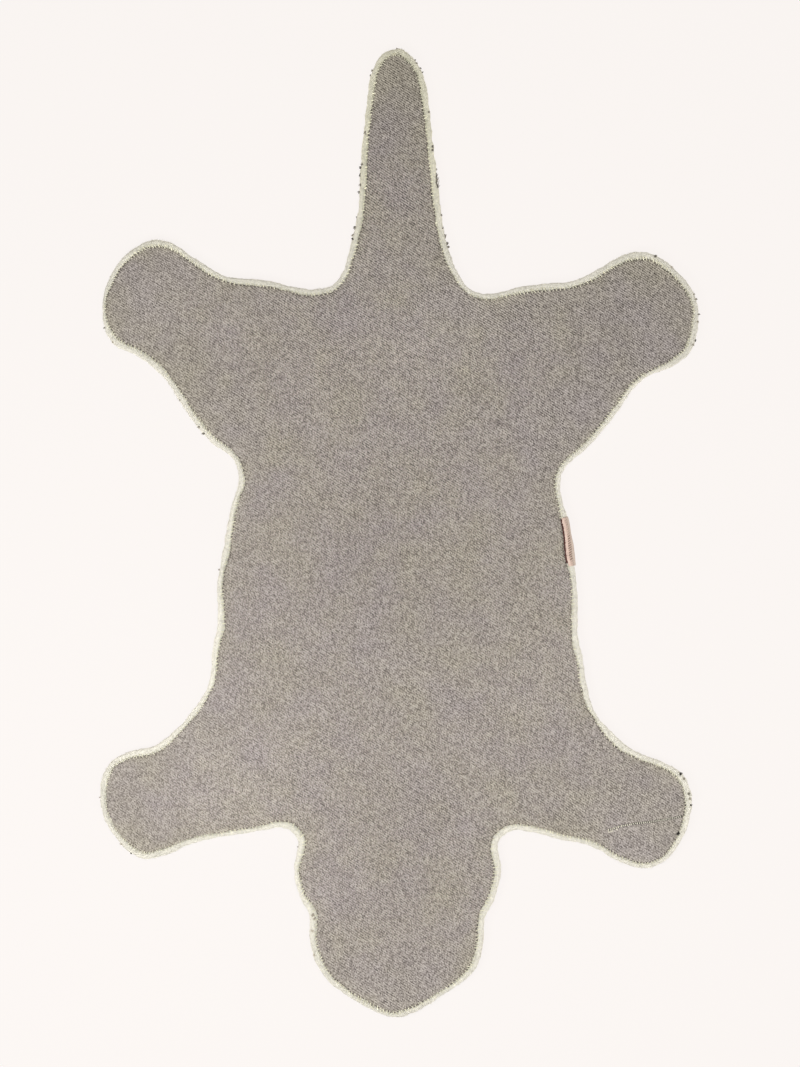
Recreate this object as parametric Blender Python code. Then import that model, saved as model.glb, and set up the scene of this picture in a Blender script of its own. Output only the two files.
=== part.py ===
"""Child's floor rug cut to the outline of an animal lying flat with its legs spread.

The rug lies pile down, so its back faces up: a grey twill backing cloth is sewn down a little
inside the turned edge of the cream tufted body, and a short folded label is caught in the seam.
Metres, +Z up. +Y points to the tip of the tail and -Y to the nose; the origin is the middle of
the rug's box, on the floor.
"""

from collections import namedtuple

import bmesh
import bpy
from mathutils import Vector
from mathutils.geometry import interpolate_bezier

MM = 0.001

# Driving dimensions, in millimetres.
RUG_LENGTH = 969.0         # nose to tail tip
STEPS_PER_ROW = 3          # edge points for each row of the outline tables
CLOTH_GAP = 0.3            # between touching pieces
BED_HEIGHT = 9.4           # top of the tufted body where the backing cloth lies
BACKING_THICKNESS = 1.3
LABEL_FROM_Y = 16.0        # the label runs along the right edge between these two heights
LABEL_TO_Y = -34.0
LABEL_THICKNESS = 0.9      # two layers of woven tape
LABEL_STATIONS = 9

# The finished edge, clockwise as seen from above. x and y are measured from the middle of the
# body, and rim is how far the backing cloth stops short of the edge there, all in millimetres.
Edge = namedtuple("Edge", "x y rim")

TAIL_RIGHT = (
    (-3, 484, 6.5),
    (11, 476.5, 6.3),
    (22, 460, 6.1),
    (27.5, 439, 6.5),
    (30.5, 412, 5.0),
    (34, 382, 6.2),
    (38, 350, 7.5),
    (41.5, 317, 6.2),
    (48, 286, 7.0),
    (57.5, 260, 5.2),
    (71, 242.5, 4.6),
)
HIND_LEG_RIGHT = (
    (88, 238, 5.2),
    (112, 243.5, 5.9),
    (145, 248.5, 6.2),
    (172, 251, 5.8),
    (194, 260, 5.6),
    (212, 272.5, 6.1),
    (237, 280.5, 7.2),
    (256, 276.5, 5.6),
    (275, 263.5, 6.2),
    (291, 244.5, 6.1),
    (299, 223, 5.7),
    (298, 203, 6.7),
    (291, 181, 6.4),
    (276, 168, 6.0),
    (252, 158.5, 3.8),
    (236, 146.5, 4.0),
    (220, 124, 5.2),
    (203, 102, 5.0),
    (186.5, 84, 4.9),
    (166, 67, 4.7),
)
SIDE_RIGHT = (
    (160, 50, 4.9),
    (164, 26, 4.8),
    (168.5, 12, 6.6),
    (171, -6, 7.0),
    (173.5, -24, 8.0),
    (175.5, -42, 5.6),
    (178, -70, 6.0),
    (178, -102, 6.1),
    (183.5, -130, 5.8),
    (187.5, -157, 6.0),
    (196, -182.5, 4.5),
    (213, -202, 6.4),
)
FRONT_LEG_RIGHT = (
    (234, -218.5, 5.0),
    (261, -229.5, 5.5),
    (280, -239.5, 6.3),
    (290, -257, 6.5),
    (292, -274, 6.5),
    (286, -299, 6.0),
    (270, -323, 5.0),
    (245, -336, 5.4),
    (217, -328.5, 5.2),
    (190, -314, 5.4),
    (163, -307, 4.8),
    (133, -299, 5.8),
    (110, -299, 6.0),
)
HEAD_RIGHT = (
    (98.5, -310, 6.9),
    (101, -337, 6.2),
    (95, -367, 6.4),
    (85, -389, 6.8),
    (83.5, -414, 6.4),
    (76, -437, 6.6),
    (50, -457.5, 4.7),
    (20, -476.5, 5.1),
    (-5.5, -485, 5.0),
)
HEAD_LEFT = (
    (-33, -475.5, 4.9),
    (-64, -457, 6.0),
    (-84, -431.5, 6.7),
    (-90.5, -406, 7.2),
    (-91.5, -383, 8.4),
    (-101, -363.5, 6.0),
    (-106, -338, 4.9),
    (-101.5, -311, 6.6),
    (-111, -298, 7.0),
)
FRONT_LEG_LEFT = (
    (-138, -298, 4.8),
    (-178, -304.5, 4.4),
    (-210, -312.5, 5.6),
    (-235, -323, 6.2),
    (-256, -327, 6.3),
    (-281, -310.5, 6.5),
    (-297, -284.5, 6.5),
    (-300.5, -261, 7.5),
    (-292.5, -234.5, 6.3),
    (-274, -220.5, 6.8),
    (-245, -213.5, 7.4),
    (-222, -196, 4.6),
    (-201, -171, 4.2),
)
SIDE_LEFT = (
    (-190.5, -145, 5.6),
    (-188, -119, 6.3),
    (-182.5, -90, 6.8),
    (-183, -56, 5.2),
    (-178.5, -26, 6.1),
    (-172.5, 7, 5.9),
    (-167, 35, 5.3),
    (-162.5, 54, 5.2),
    (-165.5, 71, 5.2),
)
HIND_LEG_LEFT = (
    (-195, 96, 6.6),
    (-216, 124, 5.6),
    (-237, 155, 6.6),
    (-263, 176, 6.0),
    (-288, 189, 7.2),
    (-297.5, 215, 3.4),
    (-294, 247, 5.6),
    (-279, 273.5, 5.8),
    (-253, 291.5, 6.5),
    (-231, 290, 5.8),
    (-204, 273, 4.7),
    (-177, 257, 5.9),
    (-140, 252.5, 6.4),
    (-108, 246, 6.3),
    (-90, 242, 4.8),
)
TAIL_LEFT = (
    (-67, 246, 5.0),
    (-58, 257, 6.8),
    (-50, 284, 6.6),
    (-42, 321, 5.2),
    (-40, 357, 6.0),
    (-37, 394, 5.2),
    (-33, 430, 5.8),
    (-28.5, 458, 6.6),
    (-18, 477.5, 6.3),
)
OUTLINE = (
    TAIL_RIGHT + HIND_LEG_RIGHT + SIDE_RIGHT + FRONT_LEG_RIGHT + HEAD_RIGHT
    + HEAD_LEFT + FRONT_LEG_LEFT + SIDE_LEFT + HIND_LEG_LEFT + TAIL_LEFT
)

# Cross-sections near the edge. share is the distance in from the edge over the rim there.
Ring = namedtuple("Ring", "share height")

BODY_RINGS = tuple(Ring(*row) for row in (
    (0.55, 0.0),           # the pile's tips, flat on the floor
    (0.20, 1.2),
    (0.00, 4.0),           # the widest place, half way up the pile
    (0.04, 7.4),
    (0.22, 9.4),
    (0.50, 10.4),          # the crown of the turned edge
    (0.85, 10.2),
    (1.08, BED_HEIGHT),
))
BACKING_RINGS = tuple(Ring(*row) for row in (
    (1.12, BED_HEIGHT + CLOTH_GAP),
    (1.00, BED_HEIGHT + CLOTH_GAP + 0.5),
    (1.06, BED_HEIGHT + CLOTH_GAP + BACKING_THICKNESS - 0.2),
    (1.30, BED_HEIGHT + CLOTH_GAP + BACKING_THICKNESS),
))
LABEL_UNDERSIDE = tuple(Ring(*row) for row in (
    (0.90, 10.6),          # just outside the backing cloth
    (0.55, 10.8),
    (0.22, 10.3),
    (-0.08, 9.3),          # the fold, just over the rug's edge
))


def clear_scene():
    for obj in list(bpy.data.objects):
        bpy.data.objects.remove(obj, do_unlink=True)


def tangent(before, here, after):
    """Direction of the edge at a row, weighed by how near its two neighbours are."""
    back = here - before
    ahead = after - here
    way = back / back.length_squared + ahead / ahead.length_squared
    return way.normalized()


def finished_edge():
    """Smooth closed curve through the outline's rows, as Edge points in millimetres."""
    rows = [Vector(row) for row in OUTLINE]
    count = len(rows)
    ways = [tangent(rows[i - 1], rows[i], rows[(i + 1) % count]) for i in range(count)]
    points = []
    for i, start in enumerate(rows):
        end = rows[(i + 1) % count]
        handle = (end - start).length / 3
        stretch = interpolate_bezier(
            start,
            start + ways[i] * handle,
            end - ways[(i + 1) % count] * handle,
            end,
            STEPS_PER_ROW + 1,
        )
        points.extend(stretch[:-1])
    xs = [point.x for point in points]
    ys = [point.y for point in points]
    middle_x = (min(xs) + max(xs)) / 2
    middle_y = (min(ys) + max(ys)) / 2
    scale = RUG_LENGTH / (max(ys) - min(ys))
    return [
        Edge((p.x - middle_x) * scale, (p.y - middle_y) * scale, p.z * scale)
        for p in points
    ]


def inward(edge, i):
    """Unit vector in the floor's plane from edge point i towards the inside of the rug."""
    before = edge[i - 1]
    after = edge[(i + 1) % len(edge)]
    return Vector((after.y - before.y, before.x - after.x)).normalized()


def ring_point(point, way_in, ring):
    """Place of a cross-section's ring at one edge point, in metres."""
    distance = ring.share * point.rim
    return Vector((
        (point.x + way_in.x * distance) * MM,
        (point.y + way_in.y * distance) * MM,
        ring.height * MM,
    ))


def plain_material(name, colour, roughness):
    material = bpy.data.materials.new(name)
    material.use_nodes = True
    shader = material.node_tree.nodes["Principled BSDF"]
    shader.inputs["Base Color"].default_value = (*colour, 1.0)
    shader.inputs["Roughness"].default_value = roughness
    shader.inputs["Metallic"].default_value = 0.0
    return material


def add_object(name, shape, material):
    bmesh.ops.recalc_face_normals(shape, faces=shape.faces)
    mesh = bpy.data.meshes.new(name)
    shape.to_mesh(mesh)
    shape.free()
    mesh.materials.append(material)
    obj = bpy.data.objects.new(name, mesh)
    bpy.context.collection.objects.link(obj)
    return obj


def ringed_slab(edge, rings):
    """Closed slab through a stack of rings that all follow the rug's edge."""
    shape = bmesh.new()
    ways = [inward(edge, i) for i in range(len(edge))]
    loops = [
        [shape.verts.new(ring_point(point, way, ring)) for point, way in zip(edge, ways)]
        for ring in rings
    ]
    shape.faces.new(loops[0])
    shape.faces.new(reversed(loops[-1]))
    for lower, upper in zip(loops, loops[1:]):
        for i in range(len(edge)):
            shape.faces.new((lower[i - 1], lower[i], upper[i], upper[i - 1]))
    return shape


def tufted_body(edge):
    """Cream tufted cloth with its edge turned to the back; its pile is the slab's lower part."""
    cream = plain_material("cream_pile", (0.74, 0.70, 0.57), 0.95)
    return add_object("tufted_body", ringed_slab(edge, BODY_RINGS), cream)


def backing_cloth(edge):
    """Grey twill laid over the back and sewn down just inside the turned edge."""
    grey = plain_material("grey_twill", (0.36, 0.32, 0.29), 0.92)
    return add_object("backing_cloth", ringed_slab(edge, BACKING_RINGS), grey)


def label_stations(edge):
    """Edge points at even heights along the label, each with its way in."""
    right_side = [
        i for i in range(len(edge) - 1)
        if edge[i].x > 0 and LABEL_TO_Y - 20 < edge[i].y < LABEL_FROM_Y + 20
    ]
    stations = []
    for k in range(LABEL_STATIONS):
        y = LABEL_FROM_Y + (LABEL_TO_Y - LABEL_FROM_Y) * k / (LABEL_STATIONS - 1)
        i = next(j for j in right_side if edge[j].y >= y > edge[j + 1].y)
        t = (edge[i].y - y) / (edge[i].y - edge[i + 1].y)
        start = Vector(edge[i])
        end = Vector(edge[i + 1])
        way_in = inward(edge, i).lerp(inward(edge, i + 1), t).normalized()
        stations.append((Edge(*start.lerp(end, t)), way_in))
    return stations


def folded_label(edge):
    """Short loop of salmon tape, flattened over the turned edge, with its fold outwards."""
    upper_side = [
        Ring(ring.share, ring.height + LABEL_THICKNESS) for ring in reversed(LABEL_UNDERSIDE)
    ]
    section = list(LABEL_UNDERSIDE) + upper_side
    shape = bmesh.new()
    loops = [
        [shape.verts.new(ring_point(point, way, ring)) for ring in section]
        for point, way in label_stations(edge)
    ]
    shape.faces.new(loops[0])
    shape.faces.new(reversed(loops[-1]))
    for here, after in zip(loops, loops[1:]):
        for i in range(len(section)):
            shape.faces.new((here[i - 1], here[i], after[i], after[i - 1]))
    salmon = plain_material("salmon_tape", (0.72, 0.47, 0.36), 0.7)
    return add_object("label", shape, salmon)


def main():
    clear_scene()
    edge = finished_edge()
    tufted_body(edge)
    backing_cloth(edge)
    folded_label(edge)


main()
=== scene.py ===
"""Child's floor rug in the outline of an animal, lying pile down with its back up.

A cream tufted cloth has its edge turned to the back all round. A grey twill backing cloth is laid
over the back and overcast to the turned edge by hand, and a short folded label is caught in the
seam. Metres, +Z up, +Y towards the tip of the tail.
"""

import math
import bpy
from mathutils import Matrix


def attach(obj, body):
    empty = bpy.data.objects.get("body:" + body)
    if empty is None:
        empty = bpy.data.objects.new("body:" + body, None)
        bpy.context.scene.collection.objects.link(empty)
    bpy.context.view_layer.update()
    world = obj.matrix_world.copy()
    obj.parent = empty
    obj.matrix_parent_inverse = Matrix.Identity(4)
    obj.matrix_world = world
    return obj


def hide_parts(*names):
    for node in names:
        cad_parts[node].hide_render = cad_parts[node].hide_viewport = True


bl_info = {
    "name": "Animal Shaped Kids Rug",
    "version": (1, 0, 0),
    "blender": (4, 5, 0),
    "location": "View3D > Sidebar > Kids Rug",
    "description": "Builds the rug's cloths, stitches, pile and label around its solids",
    "category": "Add Mesh",
}

from collections import namedtuple
from functools import cache

import bmesh
import bpy
import numpy as np
from bpy.props import FloatProperty, FloatVectorProperty, PointerProperty
from mathutils import Vector, kdtree, noise
from mathutils.geometry import delaunay_2d_cdt

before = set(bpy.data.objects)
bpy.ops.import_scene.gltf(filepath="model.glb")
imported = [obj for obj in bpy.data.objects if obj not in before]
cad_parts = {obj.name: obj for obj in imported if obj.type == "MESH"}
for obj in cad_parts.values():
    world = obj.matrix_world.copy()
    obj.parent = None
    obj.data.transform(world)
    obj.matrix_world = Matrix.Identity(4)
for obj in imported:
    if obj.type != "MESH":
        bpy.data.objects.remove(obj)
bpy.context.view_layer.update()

MM = 0.001
WELD = 1e-6                # the solids' corners are joined within this distance
LEVEL_SLACK = 0.05 * MM
WIDEST_HEIGHT = 4.0 * MM   # where the tufted body's solid reaches furthest out
SEAM_HEIGHT = 10.2 * MM    # where the backing cloth's solid reaches furthest out
EDGE_SOFTNESS = 2.2 * MM   # rounds the small corners of the solids' outline
STITCH_STRAY = 0.22        # how far a stitch is from its even place, as a share of their pitch
UP = (0.0, 0.0, 1.0)


# ---------------------------------------------------------------- settings

def length(name, description, millimetres):
    return FloatProperty(
        name=name, description=description, default=millimetres * MM, unit="LENGTH", precision=5)


def colour(name, description, default):
    return FloatVectorProperty(
        name=name, description=description, default=default, size=3, subtype="COLOR",
        min=0.0, max=1.0)


class RugSizes(bpy.types.PropertyGroup):
    """Sizes of the rug's fine parts."""

    station: length("Edge Spacing", "Distance between points along the edge", 0.9)
    wrinkle: length("Wrinkle", "Height of the cross wrinkles in the turned edge", 0.22)
    edge_wave: length("Edge Wave", "How far the turned edge strays to either side", 0.36)
    seam_wave: length("Seam Wave", "How far the backing's edge strays to either side", 0.58)
    stitch_pitch: length("Stitch Pitch", "Distance from one overcast stitch to the next", 3.7)
    thread: length("Thread", "Thickness of the sewing thread", 0.84)
    pit_depth: length("Stitch Pit", "How deep a stitch pulls the backing cloth down", 0.45)
    tuft_pitch: length("Tuft Pitch", "Distance between the pile's tufts", 4.3)
    tuft_length: length("Tuft Length", "Length of a tuft from its ground cloth to its tip", 5.6)
    grid: length("Cloth Grid", "Distance between points in the middle of the backing", 5.0)


class RugColours(bpy.types.PropertyGroup):
    """Colours of the rug's cloths, threads and yarns."""

    ivory: colour("Ivory Cloth", "Turned edge where it is clean", (0.857, 0.818, 0.713))
    worn_ivory: colour("Worn Ivory", "Turned edge where it is greyer", (0.687, 0.666, 0.562))
    pile: colour("Pile", "Yarn of the pile", (0.78, 0.74, 0.61))
    twill_rose: colour("Rose Grey Twill", "Backing's warmer patches", (0.3547, 0.3150, 0.298))
    twill_olive: colour("Olive Grey Twill", "Backing's olive patches", (0.3458, 0.3115, 0.2545))
    thread: colour("Sewing Thread", "Overcast stitches", (0.86, 0.83, 0.64))
    dark_yarn: colour("Dark Yarn", "Loose yarn ends at the edge", (0.057, 0.051, 0.041))
    tape: colour("Label Tape", "Folded label", (0.83, 0.635, 0.53))
    tape_stripe: colour("Label Stripe", "Woven stripe of the label", (0.22, 0.145, 0.10))
    # Painted shade: the label seam's colour is the dark of the gap at the label's inner side,
    # given to a thread laid in it.
    seam: colour("Label Seam", "Dark thread that holds the label", (0.095, 0.034, 0.027))
    floor: colour("Floor", "Pale studio floor", (0.965, 0.922, 0.896))


class RugSettings(bpy.types.PropertyGroup):
    """All that a user would change on the rug."""

    sizes: PointerProperty(type=RugSizes, name="Sizes", description="Sizes of the fine parts")
    colours: PointerProperty(type=RugColours, name="Colours", description="Colours of the parts")


def settings():
    return bpy.context.scene.kids_rug


def table(kind, rows):
    return tuple(kind(*row) for row in rows)


# ---------------------------------------------------------------- the rug's edge

# The finished edge, clockwise as seen from above, with a row for every station along it:
# place is the widest line, inward the way in from it, rim the width of cloth that the backing
# leaves bare, along the way round so far, and stitches the stations of the overcast stitches.
RugEdge = namedtuple("RugEdge", "place inward rim along stitches")

# Places where the turned edge bunches up or runs wider or narrower, in millimetres: where on the
# seam, how far round that reaches, how much it pushes the backing in, and how much the edge
# itself bulges out. Each one starts from the edge that those before it leave.
Pucker = namedtuple("Pucker", "x y reach widen bulge", defaults=(0,))
PUCKERS = table(Pucker, (
    # all round
    (-161, 51, 7, 1.4), (-163, 36, 6, -0.7), (-87, -385, 7, 1.2), (-84, -372, 6, -0.6),
    (-262, 186, 5, 0.6), (31, 381, 6, -0.6, -0.7), (35, 369, 5, 0.3, 0.8), (0, -484, 75, -0.8),
    (-290, -280, 60, -0.6), (-95, -400, 60, -0.3), (240, -215, 60, 0.6), (185, -110, 70, 0.5),
    (190, 262, 70, 0.5), (-200, 90, 60, -0.4), (162, 12, 8, 0.9),
    # tail
    (-58, 254, 20, -1.5, 1.4), (-48, 264, 13, -1.5), (-46, 272, 9, -1.0), (-79, 237, 11, 0.0, 1.0),
    (-22, 462, 10, -1.3), (-34, 350, 8, 1.0), (-36, 317, 8, 0.8), (14, 466, 8, -0.7),
    (24, 422, 8, 0.9), (32, 355, 9, -1.2, -1.0), (39, 307, 7, 0.7), (41, 296, 12, -0.9, -1.2),
    # hind leg left
    (-118, 243, 14, -1.2), (-180, 254, 9, -0.9), (-264, 281, 11, 0.9, -1.4), (-291, 234, 11, -1.4),
    (-246, 171, 9, 1.0), (-230, 156, 10, -1.6), (-212, 131, 13, 1.0), (-176, 89, 18, -1.4, 1.7),
    # hind leg right
    (218, 269, 11, 1.0, -1.1), (241, 275, 8, -0.9), (260, 167, 13, -0.8, 1.2),
    (167, 77, 13, -1.3, 2.0),
    # sides
    (-158, 47, 17, 1.4, -1.4), (-159, 36, 7, 0.8), (-174, -37, 11, -1.0), (-170, -21, 7, 0.8),
    (173, -74, 12, -1.0), (173, -100, 10, 0.0, -0.9),
    # front leg left
    (-190, -152, 9, 0.9, -0.9), (-206, -181, 14, 0.0, 1.2), (-241, -217, 9, -0.8),
    (-282, -232, 9, -0.9), (-294, -263, 9, -0.9), (-156, -297, 24, -0.9, 1.6),
    # front leg right
    (194, -188, 17, -1.6), (218, -214, 10, 1.0), (264, -236, 10, -1.1), (260, -324, 16, -1.1, 1.6),
    (145, -298, 30, -1.9, 1.9), (112, -294, 9, -0.8), (93, -311, 10, -0.7),
    # head
    (-98, -323, 10, -1.0, 1.0), (-87, -387, 18, -1.3, -0.4), (-79, -427, 10, 1.0),
    (-52, -457, 15, 1.0, -1.1), (5, -477, 25, 0.0, 1.1), (54, -448, 11, -1.1, 1.2),
    (77, -418, 9, 0.8), (84, -380, 13, 0.0, -1.1),
    # front paws
    (255, -335, 45, -0.6), (-225, -345, 45, 0.5),
))


def level_ring(node, height):
    """Ordered loop of a solid's corners at one height, clockwise as seen from above."""
    shape = bmesh.new()
    shape.from_mesh(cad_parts[node].data)
    bmesh.ops.remove_doubles(shape, verts=shape.verts, dist=WELD)
    level = {v for v in shape.verts if abs(v.co.z - height) < LEVEL_SLACK}
    here = max(level, key=lambda v: v.co.y)
    loop = []
    while here:
        loop.append(here.co.xy.to_tuple())
        level.discard(here)
        others = (e.other_vert(here) for e in here.link_edges)
        here = next((v for v in others if v in level), None)
    shape.free()
    loop = np.array(loop)
    ahead = np.roll(loop, -1, 0)
    turn = (loop[:, 0] * ahead[:, 1] - ahead[:, 0] * loop[:, 1]).sum()
    return loop if turn < 0 else loop[::-1]


def soften(values, reach):
    """Values round a closed loop, smoothed over that many stations."""
    wave = np.fft.rfftfreq(len(values)) * 2 * math.pi * reach
    keep = np.exp(-0.5 * wave ** 2)
    if values.ndim > 1:
        keep = keep[:, None]
    return np.fft.irfft(np.fft.rfft(values, axis=0) * keep, len(values), axis=0)


def even_loop(rows, spacing):
    """Closed smooth curve through rows, read at even distances. Columns 0 and 1 are x and y."""
    before, ahead, after = (np.roll(rows, k, 0) for k in (1, -1, -2))
    parts = [
        0.5 * (2 * rows + (ahead - before) * t
               + (2 * before - 5 * rows + 4 * ahead - after) * t ** 2
               + (3 * rows - before - 3 * ahead + after) * t ** 3)
        for t in np.linspace(0, 1, 12, endpoint=False)]
    fine = np.stack(parts, 1).reshape(-1, rows.shape[1])
    closed = np.vstack([fine, fine[:1]])
    way = np.concatenate([[0], np.hypot(*np.diff(closed[:, :2], axis=0).T).cumsum()])
    count = round(way[-1] / spacing)
    at = np.arange(count) * way[-1] / count
    return np.column_stack([np.interp(at, way, column) for column in closed.T]), way[-1]


def rug_edge():
    """The finished edge that every piece follows."""
    sizes = settings().sizes
    return edge_with(sizes.station, sizes.stitch_pitch)


@cache
def edge_with(station, stitch_pitch):
    """Edge with its points and its stitches that far apart."""
    outer = level_ring("tufted_body", WIDEST_HEIGHT)
    seam = level_ring("backing_cloth", SEAM_HEIGHT)
    seam = np.roll(seam, -np.linalg.norm(seam - outer[0], axis=1).argmin(), 0)
    rim = np.linalg.norm(seam - outer, axis=1)
    rows, around = even_loop(np.column_stack([outer, rim]), station)
    rows = soften(rows, EDGE_SOFTNESS / station)
    place, rim = rows[:, :2], rows[:, 2]
    way = soften(np.roll(place, -1, 0) - np.roll(place, 1, 0), 2)
    inward = -quarter(way) / np.linalg.norm(way, axis=1)[:, None]
    for pucker in PUCKERS:
        seam = place + inward * rim[:, None]
        apart = np.hypot(*(seam - np.array([pucker.x, pucker.y]) * MM).T) / (pucker.reach * MM)
        share = np.exp(-apart ** 2)
        rim = rim + (pucker.widen + pucker.bulge) * MM * share
        place = place - inward * (pucker.bulge * MM * share)[:, None]
    along = np.arange(len(rim)) * around / len(rim)
    stitches = even_stations(np.random.default_rng(11), along, stitch_pitch, STITCH_STRAY)
    return RugEdge(place, inward, rim, along, stitches)


def even_stations(rng, along, pitch, stray):
    """Stations a pitch apart all round, each up to a share of it astray."""
    count = round((along[-1] + along[1]) / pitch)
    return (np.arange(count) + rng.uniform(-stray, stray, count)) * len(along) / count


def wobble(rng, edge, reach):
    """Smooth random values along the edge, mostly between -2 and 2. Reach is in millimetres."""
    values = soften(rng.normal(size=len(edge.rim)), reach * MM / settings().sizes.station)
    return (values - values.mean()) / values.std()


def nearest_stitch(edge, shift=0.0):
    """How far each station is from its nearest stitch, along the edge."""
    count = len(edge.rim)
    spots = np.sort((edge.stitches + shift) % count)
    spots = np.concatenate([spots[-1:] - count, spots, spots[:1] + count])
    at = np.arange(count)
    i = np.searchsorted(spots, at)
    return np.minimum(spots[i] - at, at - spots[i - 1]) * edge.along[1]


def ring_at(edge, distance, height):
    """Ring of points at a distance in from the edge. Both may vary along it."""
    ones = np.ones(len(edge.rim))
    return np.column_stack([edge.place + edge.inward * (distance * ones)[:, None], height * ones])


def read_at(edge, stations, values):
    """Values read between the stations of the closed edge."""
    count = len(edge.rim)
    low = np.floor(stations).astype(int)
    share = (stations - low).reshape(-1, *[1] * (values.ndim - 1))
    return values[low % count] * (1 - share) + values[(low + 1) % count] * share


def edge_at(edge, stations):
    """The edge's place, way in and rim, read between its stations."""
    return [read_at(edge, stations, values) for values in (edge.place, edge.inward, edge.rim)]


def level_way(turn):
    return np.column_stack([np.cos(turn), np.sin(turn), np.zeros(len(turn))])


def quarter(ways):
    """Flat directions, a quarter turn to the left."""
    return np.stack([-ways[..., 1], ways[..., 0]], -1)


def turned(ways, lean):
    """Flat directions, each with a share of its own quarter turn added."""
    return ways + quarter(ways) * np.reshape(lean, (-1, 1))


# ---------------------------------------------------------------- meshes

def deselect():
    bpy.ops.object.select_all(action="DESELECT")


def add_values(mesh, **values):
    """Attributes that the materials read, with a value for each point."""
    for key, row in values.items():
        layer = mesh.attributes.new(key, "FLOAT", "POINT")
        layer.data.foreach_set("value", np.asarray(row, np.float32))


def link_new(name, data):
    obj = bpy.data.objects.new(name, data)
    bpy.context.scene.collection.objects.link(obj)
    return obj


def add_mesh(name, points, faces, material, **values):
    """Smooth shaded object of one material, with values for it to read."""
    mesh = bpy.data.meshes.new(name)
    mesh.from_pydata(points, [], faces)
    mesh.validate()
    mesh.shade_smooth()
    add_values(mesh, **values)
    mesh.materials.append(material)
    return link_new(name, mesh)


def faces_out(obj):
    shape = bmesh.new()
    shape.from_mesh(obj.data)
    bmesh.ops.recalc_face_normals(shape, faces=shape.faces)
    shape.to_mesh(obj.data)
    shape.free()


def ring_tree(ring):
    """Finds the ring's point that is nearest to a spot."""
    tree = kdtree.KDTree(len(ring))
    for i, point in enumerate(ring):
        tree.insert((point[0], point[1], 0), i)
    tree.balance()
    return tree


def spots_inside(ring, inward, pitch, rise, clear):
    """Spots in staggered rows inside a closed ring, at least that clear of it."""
    tree = ring_tree(ring)
    low, high = ring[:, :2].min(0), ring[:, :2].max(0)
    spots = []
    for row, y in enumerate(np.arange(low[1], high[1], rise)):
        for x in np.arange(low[0] + row % 2 * pitch / 2, high[0], pitch):
            near, i, apart = tree.find((x, y, 0))
            if apart > clear and np.dot((x - near.x, y - near.y), inward[i]) > 0:
                spots.append((x, y))
    return np.array(spots)


# Fills are thinned out towards their grid by rows of (every how many stations, how far in).
FINE_STEPS = ((2, 1.6 * MM), (4, 4 * MM))
COARSE_STEPS = ((4, 3 * MM), (16, 9 * MM))
HIDDEN_GRID = 22 * MM


def fill(ring, inward, grid=HIDDEN_GRID, steps=COARSE_STEPS):
    """Level points inside a closed ring, and triangles over the ring and them."""
    inside = [ring[::every, :2] + inward[::every] * far for every, far in steps]
    held = spots_inside(ring, inward, grid, grid * math.sqrt(3) / 2, steps[-1][1] + 0.6 * grid)
    flat = np.vstack([ring[:, :2], *inside, held])
    made = delaunay_2d_cdt([Vector(p) for p in flat], [], [list(range(len(ring)))], 1, 1e-9)
    source = [found[0] if found else -1 for found in made[3]]
    triangles = np.array([[source[i] for i in face] for face in made[2]])
    if (triangles < 0).any():
        raise RuntimeError("the fill of a cloth met a point that is not its own")
    own = flat[len(ring):]
    return np.column_stack([own, np.full(len(own), ring[0, 2])]), triangles


def cloth(name, rings, top, under, material, patches, **values):
    """Closed cloth from rings that run from its underside round its edge to its top. top and
    under are the fills of the last and first ring. The values have an entry for each ring, one
    for the top and one for the underside."""
    count, last = len(rings[0]), len(rings) - 1
    parts = [*rings, top[0], under[0]]
    points = np.vstack(parts)
    here = np.arange(count)
    ahead = (here + 1) % count
    quads = np.vstack([
        np.column_stack([here, ahead, ahead + count, here + count]) + k * count
        for k in range(last)])
    own = len(rings) * count
    top_faces = np.where(top[1] < count, top[1] + last * count, top[1] - count + own)
    own += len(top[0])
    under_faces = np.where(under[1] < count, under[1], under[1] - count + own)[:, ::-1]
    spread = {
        key: np.concatenate([np.broadcast_to(value, len(part)) for value, part in zip(row, parts)])
        for key, row in values.items()}
    obj = add_mesh(
        name, points, [*quads.tolist(), *top_faces.tolist(), *under_faces.tolist()], material,
        tone=tones(points, patches), **spread)
    # The way along the edge runs on past its end in the faces that close the loop, so that the
    # threads don't turn back there.
    lengthwise = np.zeros(len(obj.data.loops), np.float32)
    lengthwise[:quads.size] = np.tile(
        np.column_stack([here, here + 1, here + 1, here]), (last, 1)).ravel()
    layer = obj.data.attributes.new("along", "FLOAT", "CORNER")
    layer.data.foreach_set("value", lengthwise * np.float32(rug_edge().along[1]))
    faces_out(obj)
    return obj


def rod(sides, low_end, high_end, long):
    """Tapered rod along Z from the origin, upwards or, with a length below 0, downwards."""
    deselect()
    bpy.ops.mesh.primitive_cone_add(
        vertices=sides, radius1=low_end, radius2=high_end, depth=abs(long),
        location=(0, 0, long / 2))
    bpy.ops.object.transform_apply(location=True)
    return bpy.context.object


def frames(origins, ways, sides, scales):
    """Placements whose Z runs along ways and whose X leans to sides."""
    ways, sides = np.broadcast_arrays(ways, sides)
    z = ways / np.linalg.norm(ways, axis=1)[:, None]
    y = np.cross(z, sides)
    y /= np.linalg.norm(y, axis=1)[:, None]
    turn = np.stack([np.cross(y, z), y, z], 2) * scales[:, None, :]
    return np.concatenate([turn, origins[:, :, None]], 2)


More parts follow.
